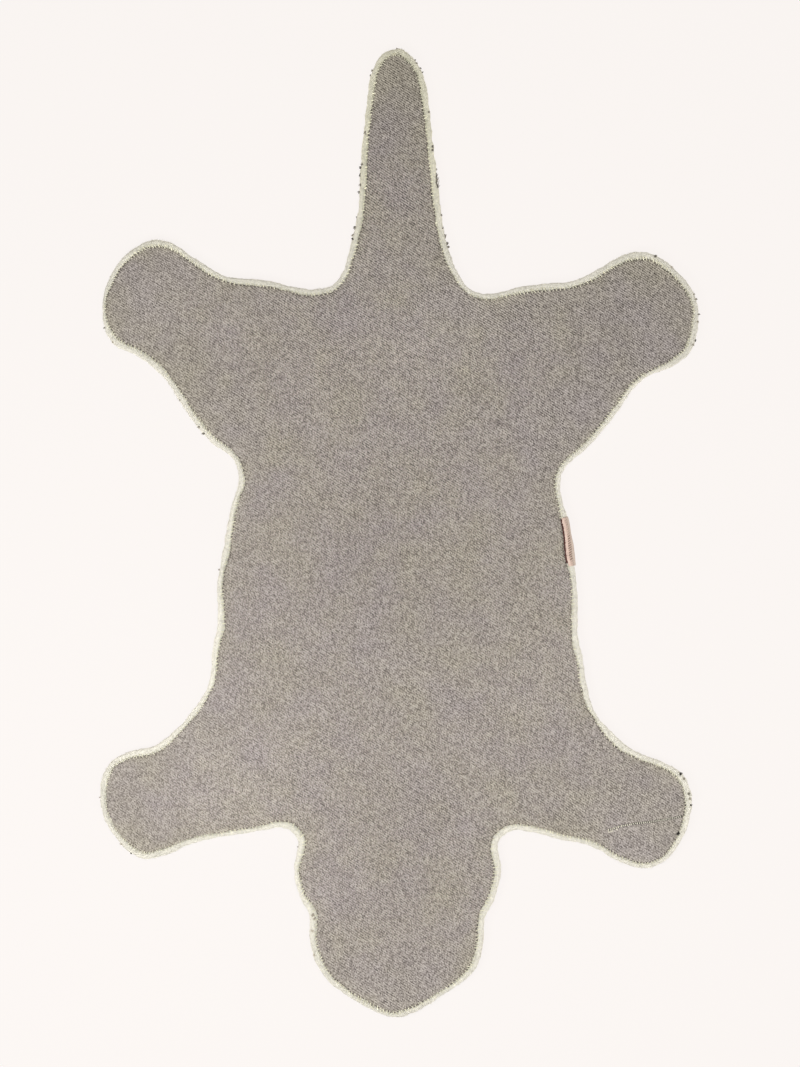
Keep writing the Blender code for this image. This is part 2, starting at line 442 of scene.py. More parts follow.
def stamp(name, unit, places, material, shade):
    """One piece made of copies of a unit, each put at its place with a shade of its own. The unit
    is removed."""
    base = np.array([v.co for v in unit.data.vertices])
    faces = [[*face.vertices] for face in unit.data.polygons]
    points = np.einsum("nij,vj->nvi", places[:, :, :3], base) + places[:, None, :, 3]
    copies = [[corner + first for corner in face]
              for first in range(0, len(places) * len(base), len(base)) for face in faces]
    reach = base[:, 2] / np.abs(base[:, 2]).max()      # 0 at its root, 1 or -1 at its tip
    obj = add_mesh(name, points.reshape(-1, 3), copies, material,
                   reach=np.tile(reach, len(places)), shade=np.repeat(shade, len(base)))
    bpy.data.objects.remove(unit)
    belongs(obj, "cream_pile")


def belongs(obj, slot, *replaced):
    """The piece rides on the rug and stands for the named solids, which it hides. The slot is not
    used.
    """
    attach(obj, "root")
    if replaced:
        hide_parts(*replaced)


# ---------------------------------------------------------------- shading

class Shading:
    """Places shader nodes in a tree and joins them. Lengths are in millimetres."""

    def __init__(self, tree):
        self.tree = tree

    def feed(self, socket, value):
        if isinstance(value, bpy.types.NodeSocket):
            self.tree.links.new(value, socket)
        else:
            socket.default_value = (*value, 1.0) if socket.type == "RGBA" else value

    def add(self, kind, inputs=None, **traits):
        node = self.tree.nodes.new(kind)
        for key, value in traits.items():
            setattr(node, key, value)
        for key, value in (inputs or {}).items():
            self.feed(node.inputs[key], value)
        return node

    def math(self, operation, *values, kind="ShaderNodeMath"):
        return self.add(kind, dict(enumerate(values)), operation=operation).outputs[0]

    def vector(self, operation, *values):
        return self.math(operation, *values, kind="ShaderNodeVectorMath")

    def times(self, tint, value):
        return self.add("ShaderNodeVectorMath", {0: tint, 3: value}, operation="SCALE").outputs[0]

    def product(self, value, *others):
        for other in others:
            value = self.math("MULTIPLY", value, other)
        return value

    def total(self, *terms, start=1.0):
        """Sum of (socket, middle, weight) terms, around the start."""
        for socket, middle, weight in terms:
            shifted = self.math("SUBTRACT", socket, middle) if middle else socket
            start = self.math("MULTIPLY_ADD", shifted, weight, start)
        return start

    def blend(self, share, first, second):
        return self.add(
            "ShaderNodeMix", {0: share, 6: first, 7: second}, data_type="RGBA").outputs[2]

    def ramp(self, value, low, high, start=0.0, end=1.0):
        return self.add("ShaderNodeMapRange", {
            "Value": value, "From Min": low, "From Max": high, "To Min": start,
            "To Max": end}).outputs[0]

    def attribute(self, name):
        return self.add("ShaderNodeAttribute", attribute_name=name).outputs["Fac"]

    def plane(self, x, y):
        return self.add("ShaderNodeCombineXYZ", {"X": x, "Y": y}).outputs[0]

    def parts(self, place):
        return self.add("ShaderNodeSeparateXYZ", {0: place}).outputs

    def stretch(self, place, *scale):
        return self.add("ShaderNodeMapping", {"Vector": place, "Scale": scale}).outputs[0]

    def noise(self, place, size, detail=2.0, result="Fac"):
        return self.add("ShaderNodeTexNoise", {
            "Vector": place, "Scale": 1 / (size * MM), "Detail": detail}).outputs[result]

    def stray(self, place, size, far):
        """Shift of up to that far, which changes slowly over that size."""
        shift = self.vector("SUBTRACT", self.noise(place, size, 1.0, "Color"), (0.5, 0.5, 0.5))
        return self.times(shift, far * MM)

    def woven(self, place, wale, over, turn=0.0):
        """Yarn and Ridge of a weave, from its wales' width, its floats' length and its turn."""
        return self.add("ShaderNodeGroup", {
            "Vector": place, "Wale": wale * MM, "Float": over * MM, "Turn": turn},
            node_tree=weave()).outputs

    def mottled(self, place, patch):
        return self.add("ShaderNodeGroup", {
            "Vector": place, "Patch": patch * MM}, node_tree=mottle()).outputs["Share"]


class Fabric(Shading):
    """Shading of a matte cloth or yarn."""

    def __init__(self, name, roughness, sheen):
        self.material = bpy.data.materials.new(name)
        self.material.use_nodes = True
        super().__init__(self.material.node_tree)
        self.shader = self.tree.nodes["Principled BSDF"].inputs
        self.shader["Roughness"].default_value = roughness
        self.shader["Sheen Weight"].default_value = sheen
        self.shader["Sheen Roughness"].default_value = 0.6
        self.shader["Specular IOR Level"].default_value = 0.2
        self.place = self.add("ShaderNodeTexCoord").outputs["Object"]

    def paint(self, tint, shade, height, depth):
        """Gives the shader its colour and a relief of that depth."""
        self.feed(self.shader["Base Color"], self.times(tint, shade))
        bump = self.add("ShaderNodeBump", {
            "Height": height, "Distance": depth * MM, "Strength": 1.0})
        self.feed(self.shader["Normal"], bump.outputs[0])
        return self.material


def node_group(name, inputs, outputs, build):
    """Group of shader nodes that takes a place and named numbers and puts out numbers."""
    if name in bpy.data.node_groups:
        return bpy.data.node_groups[name]
    group = bpy.data.node_groups.new(name, "ShaderNodeTree")
    group.interface.new_socket("Vector", in_out="INPUT", socket_type="NodeSocketVector")
    for side, labels in (("INPUT", inputs), ("OUTPUT", outputs)):
        for label in labels:
            group.interface.new_socket(label, in_out=side, socket_type="NodeSocketFloat")
    source = group.nodes.new("NodeGroupInput").outputs
    sink = group.nodes.new("NodeGroupOutput").inputs
    for label, socket in build(Shading(group), source).items():
        group.links.new(socket, sink[label])
    return group


def weave():
    """Wales of a weave: a shade for each float of yarn, and how high it stands."""
    def build(s, source):
        parts = s.parts(s.add("ShaderNodeVectorRotate", {
            "Vector": source["Vector"], "Angle": source["Turn"]},
            rotation_type="Z_AXIS").outputs[0])
        across = s.math("DIVIDE", parts["Y"], source["Wale"])
        along = s.math("DIVIDE", parts["X"], source["Float"])
        row, inside = s.math("FLOOR", across), s.math("FRACT", across)
        shifted = s.math("MULTIPLY_ADD", row, 0.37, s.math("MULTIPLY_ADD", inside, 0.6, along))
        yarn = s.add("ShaderNodeTexWhiteNoise", {
            "Vector": s.plane(s.math("FLOOR", shifted), row)}, noise_dimensions="2D")
        side = s.math("MULTIPLY_ADD", inside, 2.0, -1.0)
        end = s.math("MULTIPLY_ADD", s.math("FRACT", shifted), 2.0, -1.0)
        end = s.product(end, end)
        hump = s.math("SUBTRACT", 1.0, s.product(side, side))
        bead = s.math("MULTIPLY_ADD", s.product(end, end), -0.5, 1.0)
        return {"Yarn": yarn.outputs["Value"], "Ridge": s.product(hump, bead)}
    return node_group("Woven Wales", ("Wale", "Float", "Turn"), ("Yarn", "Ridge"), build)


def mottle():
    """Patches of a slow change, from 0 to 1, with soft borders."""
    def build(s, source):
        place = s.times(source["Vector"], s.math("DIVIDE", 1.0, source["Patch"]))
        return {"Share": s.ramp(s.noise(place, 1 / MM, 3.0), 0.3, 0.7)}
    return node_group("Cloth Mottle", ("Patch",), ("Share",), build)


# Patches where a cloth is lighter or darker, in millimetres, and by how much.
Patch = namedtuple("Patch", "x y reach change")
TWILL_PATCHES = table(Patch, (
    (-222, 232, 62, 0.055), (35, 190, 45, 0.060), (215, 190, 40, -0.030), (-25, -5, 72, -0.055),
    (5, -62, 60, -0.040), (155, -160, 52, 0.060), (-180, -245, 70, 0.075), (225, -282, 60, 0.060),
    (10, -290, 55, -0.055), (0, -370, 55, -0.030), (0, 440, 90, -0.020),
))
# Painted light and shade on the turned edge, which evens out how its sloping sides are lit:
# lighter where they face away from the lamps, darker where they face the window lamp.
RIM_PAINTED_LIGHT = table(Patch, (
    (-290, -280, 60, -0.08), (-200, -350, 60, -0.08), (-95, -420, 50, -0.05), (0, -484, 70, -0.09),
    (190, 262, 90, 0.06), (-200, 262, 80, 0.03), (295, -280, 50, 0.06), (240, -195, 60, 0.05),
    (-220, -150, 90, 0.05),
))
# Where the stitches hardly show and their pits are shallower, with less painted shade, and where
# they are duller and the seam between them has deeper pits, with more painted shade.
SOFT_SEAM = (Patch(-235, -290, 95, 1.0),)
DARK_SEAM = (Patch(4, 458, 30, 1.0),)


def tones(points, patches):
    """How much lighter or darker than its mean a cloth is at each point."""
    return sum(
        patch.change * np.exp(-((points[:, 0] - patch.x * MM) ** 2
                                + (points[:, 1] - patch.y * MM) ** 2) / (patch.reach * MM) ** 2)
        for patch in patches)


# ---------------------------------------------------------------- turned edge

# Cross-section of the ground cloth and its turned edge, from its underside round the fold to
# the part that the backing covers. share is the distance in over the rim, height is in
# millimetres, and ripple is how much of the wrinkles' height shows there.
EdgeRing = namedtuple("EdgeRing", "share height ripple")
TURNED_EDGE = table(EdgeRing, (
    (1.00, 5.20, 0), (0.42, 5.25, 0.1), (0.16, 5.50, 0.3), (0.04, 6.20, 0.6), (0.00, 7.20, 0.9),
    (0.015, 8.20, 1.0), (0.05, 9.00, 1.0), (0.11, 9.60, 1.0), (0.20, 10.00, 1.0),
    (0.32, 10.25, 1.0), (0.46, 10.40, 1.0), (0.60, 10.42, 0.9), (0.74, 10.35, 0.8),
    (0.87, 10.10, 0.5), (0.97, 9.75, 0.3), (1.20, 9.35, 0),
))
UNSEEN = 2.0               # the share that the parts under the backing are given
CREASE_SLANT = 2.4 * MM    # how far a wrinkle runs along the edge while it crosses the rim
RIM_PULL = 0.22 * MM       # how deep a stitch pulls the rim down
FOLD = slice(3, 11)        # the rings that hairs stand out of
FLUFF_PITCH = 0.35 * MM    # of the hairs, before they are thinned
HAIR = 0.09 * MM           # a hair's radius at its root

SOILED = (0.52, 0.48, 0.39)
WHITE = (1.0, 1.0, 1.0)
YELLOWED = (1.0, 1.0, 0.92)


def cream_cloth():
    """Ivory canvas, greyer towards the seam, with small lumps and soiled spots, and painted light
    on the outer slope of its fold.
    """
    colours = settings().colours
    s = Fabric("cream_cloth", 0.93, 0.12)
    threads = s.plane(s.attribute("along"), s.attribute("across"))
    canvas = s.woven(threads, 0.8, 1.1)
    streak = s.mottled(s.stretch(threads, 0.3, 1.6, 1.0), 2.6)
    lumps = s.noise(s.place, 3.2)
    seamward = s.ramp(s.attribute("share"), 0.35, 0.85)
    greying = s.total(
        (seamward, 0, 0.40), (s.mottled(s.place, 40), 0, 0.40), (streak, 0, 0.45), start=-0.12)
    spots = s.ramp(s.noise(s.place, 2.3, 1.0), 0.60, 0.72, 0.0, 0.45)
    tint = s.blend(spots, s.blend(greying, colours.ivory, colours.worn_ivory), SOILED)
    up = s.parts(s.place)["Y"]
    tint = s.vector("MULTIPLY", tint, s.blend(s.ramp(up, 0.27, 0.36), WHITE, YELLOWED))
    shade = s.total(
        (lumps, 0.5, 0.45), (s.noise(s.place, 1.1), 0.5, 0.36), (canvas["Yarn"], 0.5, 0.16),
        (canvas["Ridge"], 0.6, 0.12))
    # Painted light: the fold's outer slope is painted up to 9 % lighter, and the tone attribute
    # adds the rim patches' painted light and shade.
    clean_and_painted_light = s.ramp(s.attribute("share"), 0.0, 0.20, 1.09, 1.0)
    shade = s.product(shade, s.math("ADD", clean_and_painted_light, s.attribute("tone")))
    return s.paint(tint, shade, s.math("MULTIPLY_ADD", lumps, 1.5, canvas["Ridge"]), 0.1)


class RUG_OT_turned_edge(bpy.types.Operator):
    """Tufted ground cloth with its edge turned to the back"""

    bl_idname = "rug.turned_edge"
    bl_label = "Add Turned Edge"

    def execute(self, context):
        sizes, edge = settings().sizes, rug_edge()
        rng = np.random.default_rng(5)
        slow, cross, fine = (wobble(rng, edge, reach) for reach in (7, 1.6, 0.8))
        stray = sizes.edge_wave * (0.75 * wobble(rng, edge, 3) + 0.45 * fine)
        pull = np.exp(-(nearest_stitch(edge) / (0.9 * MM)) ** 2)
        rings = []
        for row in TURNED_EDGE:
            slant = round(CREASE_SLANT * row.share / sizes.station)
            lift = sizes.wrinkle * row.ripple * (
                0.8 * slow + 0.8 * np.roll(cross, slant) + 0.35 * np.roll(fine, -slant))
            lift -= RIM_PULL * pull * np.clip((row.share - 0.5) * 2.2, 0, 1)
            outward = stray * max(0.0, 1 - row.share / 0.8)
            rings.append(ring_at(edge, row.share * edge.rim + outward, row.height * MM + lift))
        obj = cloth(
            "turned_edge", rings, fill(rings[-1], edge.inward), fill(rings[0], edge.inward),
            cream_cloth(), RIM_PAINTED_LIGHT, share=[row.share for row in TURNED_EDGE] + [UNSEEN] * 2,
            across=[edge.rim * row.share for row in TURNED_EDGE] + [0.0] * 2)
        belongs(obj, "cream_pile", "tufted_body")
        self.fluff(edge, np.stack(rings[FOLD]))
        return {"FINISHED"}

    @staticmethod
    def fluff(edge, fold):
        """Short fine hairs that stand out of the fold, in some places more than in others."""
        rng = np.random.default_rng(6)
        thick = wobble(rng, edge, 9)
        at = rng.uniform(0, len(edge.rim), round(edge.along[-1] / FLUFF_PITCH))
        at = at[rng.uniform(0, 1, len(at)) < 0.6 + 0.3 * read_at(edge, at, thick)]
        count = len(at)
        level = rng.uniform(0, 1, count) * (len(fold) - 2)
        low = np.floor(level).astype(int)
        share = (level - low)[:, None]
        station = np.round(at).astype(int) % len(edge.rim)
        inward = edge.inward[station]
        root = fold[low, station] * (1 - share) + fold[low + 1, station] * share
        root[:, :2] += inward * 0.15 * MM
        out = turned(-inward, -rng.normal(0, 0.8, count))
        out = np.column_stack([out, (level - 2.5) * 0.3 + rng.normal(0, 0.3, count)])
        long = rng.uniform(0.7, 2.0, count) * (1 + 0.25 * read_at(edge, at, thick))
        places = frames(root, out, (0.3, 0.2, 0.9), np.column_stack([np.ones((count, 2)), long]))
        # Painted light: the hairs' shades make them up to a third lighter than the ivory cloth,
        # against the shade they stand in at the fold's side.
        stamp("edge_fluff", rod(3, HAIR, 0, MM), places,
              cotton("edge_fluff", settings().colours.ivory, 0.2), rng.uniform(0.5, 1.2, count))


# ---------------------------------------------------------------- backing cloth

# Cross-section of the backing cloth's edge, in millimetres, from its underside round the edge
# to its top. pit is how much of the stitches' pull shows there.
BackingRing = namedtuple("BackingRing", "inward height pit")
BACKING_EDGE = table(BackingRing, (
    (3.00, 9.70, 0), (0.60, 9.70, 0), (0.08, 9.85, 0.1), (0.00, 10.15, 0.3), (0.10, 10.45, 0.6),
    (0.38, 10.70, 0.8), (0.85, 10.80, 1.0), (1.40, 10.85, 1.0), (2.00, 10.92, 0.7),
    (2.80, 11.00, 0.3), (3.80, 11.05, 0), (4.80, 11.05, 0),
))
SEAM_ZONE = 6              # how far in from the seam the backing's edge is tinted olive and painted lighter, in mm
SEAM_FADE = 4              # and how far in the seam's waves reach, in millimetres
SEAM_PULL = 0.45 * MM      # how far a stitch draws the seam in
PIT_REACH = 0.80           # how wide the pit is that it makes, in millimetres
SWELL = 0.10 * MM          # height of the swells between the pits
CLOTH_RISE = 0.2 * MM      # height of the backing's slow undulations
TWILL_LEAN = math.radians(32)      # the wales run down to the right at this angle
COUNTER_LEAN = math.radians(-50)   # and the floats faintly line up across them
WARM_CAST = (1.025, 1.0, 0.985)    # of the twill's dark floats
COOL_CAST = (0.985, 1.0, 1.01)     # and of its light ones


def grey_twill():
    """Heathered twill: light and dark floats in wales, with slow rose and olive patches, painted
    shadow in the stitch pits and painted light near the seam.
    """
    colours = settings().colours
    s = Fabric("grey_twill", 0.92, 0.10)
    parts, zone = s.parts(s.place), s.attribute("seam_zone")
    right, up = parts["X"], parts["Y"]
    laid = s.vector("ADD", s.place, s.stray(s.place, 160, 10))
    laid = s.vector("ADD", laid, s.stray(s.place, 0.7, 0.5))
    twill = s.woven(laid, 2.14, 1.7, TWILL_LEAN)
    fibres = s.woven(laid, 1.06, 1.15, TWILL_LEAN)
    counter = s.woven(laid, 2.4, 2.2, COUNTER_LEAN)
    warp, weft = (s.noise(s.stretch(laid, *scale), 1.6, 1.0)
                  for scale in ((1.0, 0.08, 1.0), (0.08, 1.0, 1.0)))
    patch, small = s.mottled(s.place, 48), s.mottled(s.place, 15)
    grain = s.product(s.ramp(up, 0.0, 0.27, 0.94, 1.0), s.ramp(right, -0.28, 0.0, 0.87, 1.0))
    crisp = s.product(
        s.math("ADD", s.ramp(up, -0.05, 0.22, 0.52, 1.05), s.ramp(up, -0.12, -0.30, 0.0, 0.10)),
        s.ramp(s.noise(s.place, 70, 1.0), 0.35, 0.65, 0.85, 1.15),
        s.ramp(right, -0.28, -0.05, 0.70, 1.0))
    olive = s.total(
        (patch, 0, 0.8), (small, 0, 0.27), (s.ramp(up, 0.38, 0.46), 0, 0.45), (zone, 0, 0.35),
        start=-0.1)
    ridge = s.product(s.math("SUBTRACT", s.ramp(twill["Ridge"], 0.2, 0.8), 0.6), crisp)
    yarns = s.total(
        (twill["Yarn"], 0.5, 0.05), (ridge, 0, 0.82), (fibres["Yarn"], 0.5, 1.08),
        (counter["Yarn"], 0.5, 0.04), (counter["Ridge"], 0.6, 0.05), (warp, 0.5, 0.11),
        (weft, 0.5, 0.11), start=0.0)
    shade = s.product(
        s.math("MULTIPLY_ADD", yarns, grain, 1.0), s.total((small, 0.5, 0.11), (patch, 0.5, 0.04)),
        # painted light: the seam zone is painted up to 6 % lighter, which offsets the shade on the
        # backing's sloping edge
        s.total((s.attribute("tone"), 0, 1.1)), s.total((zone, 0, 0.06)),
        # painted shadow: the pit attribute darkens the stitch pits along the seam, down to a tenth
        s.ramp(s.attribute("pit"), 0.0, 1.0, 1.0, 0.10))
    shade = s.math("MAXIMUM", shade, 0.06)
    tint = s.vector(
        "MULTIPLY", s.blend(olive, colours.twill_rose, colours.twill_olive),
        s.blend(s.ramp(shade, 0.4, 1.6), WARM_CAST, COOL_CAST))
    return s.paint(tint, shade, s.math("MULTIPLY_ADD", fibres["Yarn"], 0.5, twill["Ridge"]), 0.12)


class RUG_OT_backing(bpy.types.Operator):
    """Grey twill backing cloth laid over the rug's back"""

    bl_idname = "rug.backing"
    bl_label = "Add Backing Cloth"

    def execute(self, context):
        sizes, edge = settings().sizes, rug_edge()
        rng = np.random.default_rng(8)
        apart = nearest_stitch(edge, 0.5 * sizes.stitch_pitch / sizes.station)
        pull = np.exp(-(apart / (PIT_REACH * MM)) ** 2)
        pull *= np.clip(0.8 + 0.35 * wobble(rng, edge, 12), 0.1, 1.15)
        pull *= 1 - 0.6 * tones(edge.place, SOFT_SEAM)
        pull = np.maximum(pull, 0.45 * tones(edge.place, DARK_SEAM))
        stray = sizes.seam_wave * (0.7 * wobble(rng, edge, 3.5) + 0.5 * wobble(rng, edge, 1.0))
        seam = edge.rim + stray + SEAM_PULL * pull
        swell = wobble(rng, edge, 9)
        rings = []
        for row in BACKING_EDGE:
            lift = SWELL * swell * row.pit - sizes.pit_depth * row.pit * pull
            fade = max(0.0, 1 - row.inward / SEAM_FADE)
            inset = seam * fade + edge.rim * (1 - fade) + row.inward * MM
            rings.append(ring_at(edge, inset, row.height * MM + lift))
        top = fill(rings[-1], edge.inward, sizes.grid, FINE_STEPS)
        tree = ring_tree(rings[-1])
        deep = np.array([tree.find((x, y, 0))[2] for x, y, _ in top[0]])
        rise = undulation(top[0], 42, 3.1) + 0.5 * undulation(top[0], 17, 7.7)
        top[0][:, 2] += CLOTH_RISE * rise
        obj = cloth(
            "backing_twill", rings, top, fill(rings[0], edge.inward), grey_twill(), TWILL_PATCHES,
            seam_zone=[math.exp(-row.inward / SEAM_ZONE) for row in BACKING_EDGE]
            + [np.exp(-(deep + SEAM_ZONE * MM) / (SEAM_ZONE * MM)), 0.0],
            # The pit values paint shadow into the stitch pits along the seam.
            pit=[pull * math.exp(-((row.inward - 0.50) / PIT_REACH) ** 2) for row in BACKING_EDGE]
            + [0.0] * 2)
        belongs(obj, "grey_twill", "backing_cloth")
        return {"FINISHED"}


def undulation(points, size, seed):
    """Slow rise and fall of a laid cloth, between -1 and 1."""
    return np.array([
        noise.noise(Vector((x / (size * MM), y / (size * MM), seed))) for x, y, _ in points])


# ---------------------------------------------------------------- stitches

STITCH_HEIGHT, STITCH_LENGTH, STITCH_ARCH = 10.62 * MM, 3.5 * MM, 0.75 * MM
MENDING_LENGTH, MENDING_ARCH = 1.9 * MM, 0.5 * MM
BRIGHT_FROM, BRIGHT_FADE = 230 * MM, 60 * MM   # the stitches are lighter beyond here
# The short mended row in a front paw, in millimetres: points that its stitches follow, and a few
# more stitches beside its start. Pale stitches take turns with dark ones, which are painted shade
# for the pits between them.
MENDED_ROW = (
    (209, -297.4), (222, -293.4), (236, -290.9), (250, -289.4), (266, -286.9), (282, -283.9))
MENDED_STITCHES = 38
MENDED_BESIDE = (0, 1, 2, 4)
MENDED_ASIDE = (0.4, -2.1)
MENDING_WAY = 0.9          # way that its stitches run, in radians from the right
# Its stitches' height and shade, and their thickness and length for those of a plain one.
MendedStitch = namedtuple("MendedStitch", "height girth long shade")
PIT_SHADE_STITCH = MendedStitch(11.0 * MM, 1.45, 1.9, -1.35)
PALE_STITCH = MendedStitch(11.1 * MM, 1.75, 1.0, 1.15)


def thread_unit(long, thickness, arch):
    """Short arched thread along X, its ends bent down into the cloth."""
    deselect()
    bpy.ops.curve.primitive_bezier_curve_add(radius=1)
    curve = bpy.context.object
    for point, side in zip(curve.data.splines[0].bezier_points, (-1, 1)):
        point.handle_left_type = point.handle_right_type = "FREE"
        point.co = (side * long / 2, 0, -thickness * 0.6)
        point.handle_left = (side * long * (0.5 if side < 0 else 0.3), 0, arch)
        point.handle_right = (side * long * (0.3 if side < 0 else 0.5), 0, arch)
    curve.data.bevel_depth = thickness / 2
    curve.data.bevel_resolution = 0
    curve.data.resolution_u = 4
    curve.data.use_fill_caps = True
    bpy.ops.object.convert(target="MESH")
    return bpy.context.object


def cotton(name, tint, weight):
    """Twisted sewing thread or yarn."""
    s = Fabric(name, 0.88, 0.15)
    fine = s.noise(s.place, 0.35)
    shade = s.total((fine, 0.5, weight), (s.attribute("shade"), 0.5, 0.5))
    return s.paint(tint, s.math("MAXIMUM", shade, 0.1), fine, 0.05)


class RUG_OT_stitches(bpy.types.Operator):
    """Overcast stitches round the backing cloth, and the mended row in a front paw"""

    bl_idname = "rug.stitches"
    bl_label = "Add Stitches"

    def execute(self, context):
        rng = np.random.default_rng(21)
        self.overcast(rng, settings().sizes, rug_edge())
        self.mended(rng, settings().sizes)
        return {"FINISHED"}

    @staticmethod
    def overcast(rng, sizes, edge):
        spots = edge.stitches
        place = read_at(edge, spots, edge.place)
        labelled = (place[:, 0] > LABEL_SIDE) & (place[:, 1] > LABEL_BOTTOM) & (
            place[:, 1] < LABEL_TOP)
        spots = spots[~labelled]
        place, inward, rim = edge_at(edge, spots)
        count = len(spots)
        soft, dark = tones(place, SOFT_SEAM), tones(place, DARK_SEAM)
        long = 1 + 0.30 * read_at(edge, spots, wobble(rng, edge, 14))
        long *= 1 - 0.35 * soft
        middle = place + inward * (rim + rng.uniform(-0.35, 0.15, count) * MM)[:, None]
        side = turned(inward, rng.normal(0.35, 0.22, count))
        side = np.column_stack([side, rng.uniform(0.10, 0.25, count)])
        scales = np.column_stack([
            np.clip(long, 0.6, 1.5) * rng.uniform(0.85, 1.15, count),
            *[rng.uniform(0.8, 1.15, count)] * 2])
        bright = np.clip((place[:, 1] - BRIGHT_FROM) / BRIGHT_FADE, 0, 1) * (1 - dark)
        origins = np.column_stack([middle, np.full(count, STITCH_HEIGHT)])
        stamp("overcast_stitches", thread_unit(STITCH_LENGTH, sizes.thread, STITCH_ARCH),
              frames(origins, UP, side, scales),
              cotton("sewing_thread", settings().colours.thread, 0.5),
              rng.uniform(0.1, 0.9, count) + rng.uniform(-0.2, 1.2, count) * bright
              - 0.35 * soft - 0.6 * dark)

    @staticmethod
    def mended(rng, sizes):
        row = np.array(MENDED_ROW) * MM
        way = np.concatenate([[0], np.hypot(*np.diff(row, axis=0).T).cumsum()])
        steps = np.arange(2 * MENDED_STITCHES)
        at = (steps + rng.uniform(-0.25, 0.25, len(steps))) / (len(steps) - 1)
        at = np.clip(at, 0, 1) * way[-1]
        along = np.column_stack([np.interp(at, way, column) for column in row.T])
        beside = along[[2 * i for i in MENDED_BESIDE]] + np.array(MENDED_ASIDE) * MM
        # The dark stitches are painted shade for the pits between the pale ones.
        dark = np.concatenate([steps % 2 == 1, np.zeros(len(beside), bool)])
        fade = np.concatenate([at / way[-1], np.full(len(beside), 0.2)])
        fade[dark] = 0.0
        count = len(dark)
        height, girth, long, shade = np.where(dark[:, None], PIT_SHADE_STITCH, PALE_STITCH).T
        origins = np.column_stack([np.vstack([along, beside]), height])
        side = level_way(rng.normal(MENDING_WAY, 0.35, count))
        girth = (girth - 0.2 * fade) * rng.uniform(0.85, 1.15, count)
        long = long * rng.uniform(0.65, 0.9, count)
        stamp("mended_row", thread_unit(MENDING_LENGTH, sizes.thread, MENDING_ARCH),
              frames(origins, UP, side, np.column_stack([long, girth, girth])),
              cotton("mending_thread", settings().colours.pile, 0.5),
              shade - 0.3 * fade + rng.uniform(-0.2, 0.2, count))


# ---------------------------------------------------------------- pile

FIELD_INSET = 6.6 * MM     # how far in from the edge the even field of tufts starts
FIELD_RISE = 0.88          # distance between its rows, as a share of the tufts' pitch
BORDER_GIRTH = 0.52        # a border tuft's thickness, as a share of a field tuft's
BORDER_PITCH = 2.0 * MM
# Rows of slender tufts round the border: (how far in, in millimetres, how far they lean out)
BORDER_ROWS = ((2.3, 0.08), (3.4, 0.07), (4.3, 0.05), (5.5, 0.0))
TUFT_ROOT = 5.62 * MM
TUFT_SHAFT = 0.88          # share of a tuft's length that is above its rounded tip
TUFT_GIRTHS = (0.54, 0.42)     # its radius at the tip and at the root, for a pitch of 1


def tuft_unit(sizes):
    """Tuft of cut yarn that hangs down from its root and swells towards its rounded tip."""
    shaft = TUFT_SHAFT * sizes.tuft_length
    tuft = rod(5, *(girth * sizes.tuft_pitch for girth in TUFT_GIRTHS), -shaft)
    bpy.ops.object.mode_set(mode="EDIT")
    bpy.ops.mesh.select_all(action="DESELECT")
    for face in bmesh.from_edit_mesh(tuft.data).faces:
        face.select_set(face.normal.z < -0.9)
    bmesh.update_edit_mesh(tuft.data)
    bpy.ops.mesh.poke(offset=sizes.tuft_length - shaft)
    bpy.ops.object.mode_set(mode="OBJECT")
    return tuft


def cut_pile():
    """Cream cut pile: every tuft has its own shade, with painted shade towards its root."""
    s = Fabric("cream_pile", 0.97, 0.3)
    strands = s.noise(s.stretch(s.place, 1.0, 1.0, 0.25), 0.55, 3.0)
    # Painted shade: the ramp on reach darkens each tuft by up to a fifth towards its root, where
    # the tufts crowd.
    shade = s.total(
        (s.attribute("shade"), 0.5, 0.16), (strands, 0.5, 1.1),
        (s.mottled(s.place, 60), 0.5, 0.08), (s.ramp(s.attribute("reach"), -1.0, 0.0), 0, -0.2))
    return s.paint(settings().colours.pile, shade, strands, 0.6)


def hanging(rng, spots, leans, girth):
    """Placements of tufts that hang from spots, each leaning, turned and sized on its own."""
    count = len(spots)
    side = level_way(rng.uniform(0, 2 * math.pi, count))
    girth = girth * rng.uniform(0.85, 1.15, count)
    return frames(
        np.column_stack([spots, np.full(count, TUFT_ROOT)]),
        np.column_stack([-leans, np.ones(count)]), side,
        np.column_stack([girth, girth, rng.uniform(0.88, 1.0, count)]))


class RUG_OT_pile(bpy.types.Operator):
    """Tufts of the pile under the ground cloth and round its edge"""

    bl_idname = "rug.pile"
    bl_label = "Add Pile"

    def execute(self, context):
        rng = np.random.default_rng(33)
        material = cut_pile()
        self.field(rng, settings().sizes, rug_edge(), material)
        self.border(rng, settings().sizes, rug_edge(), material)
        return {"FINISHED"}

    @staticmethod
    def field(rng, sizes, edge, material):
        spots = spots_inside(
            ring_at(edge, FIELD_INSET, 0.0), edge.inward, sizes.tuft_pitch,
            sizes.tuft_pitch * FIELD_RISE, 0.3 * MM)
        spots += rng.uniform(-0.4, 0.4, spots.shape) * MM
        places = hanging(rng, spots, rng.normal(0, 0.16, spots.shape), 1.0)
        shade = rng.uniform(0, 1, len(places))
        tail = spots[:, 1] >= 0
        for name, half in (("pile_tail_half", tail), ("pile_head_half", ~tail)):
            stamp(name, tuft_unit(sizes), places[half], material, shade[half])

    @staticmethod
    def border(rng, sizes, edge, material):
        spots, leans = [], []
        for inset, lean in BORDER_ROWS:
            place, inward, _ = edge_at(edge, even_stations(rng, edge.along, BORDER_PITCH, 0.3))
            count = len(place)
            spots.append(
                place + inward * (inset + rng.uniform(-0.25, 0.25, count))[:, None] * MM)
            outward = -inward * (lean + rng.uniform(-0.08, 0.08, count))[:, None]
            leans.append(outward + rng.normal(0, 0.06, outward.shape))
        places = hanging(rng, np.vstack(spots), np.vstack(leans), BORDER_GIRTH)
        stamp("pile_border", tuft_unit(sizes), places, material, rng.uniform(0, 1, len(places)))


# ---------------------------------------------------------------- dark yarn ends

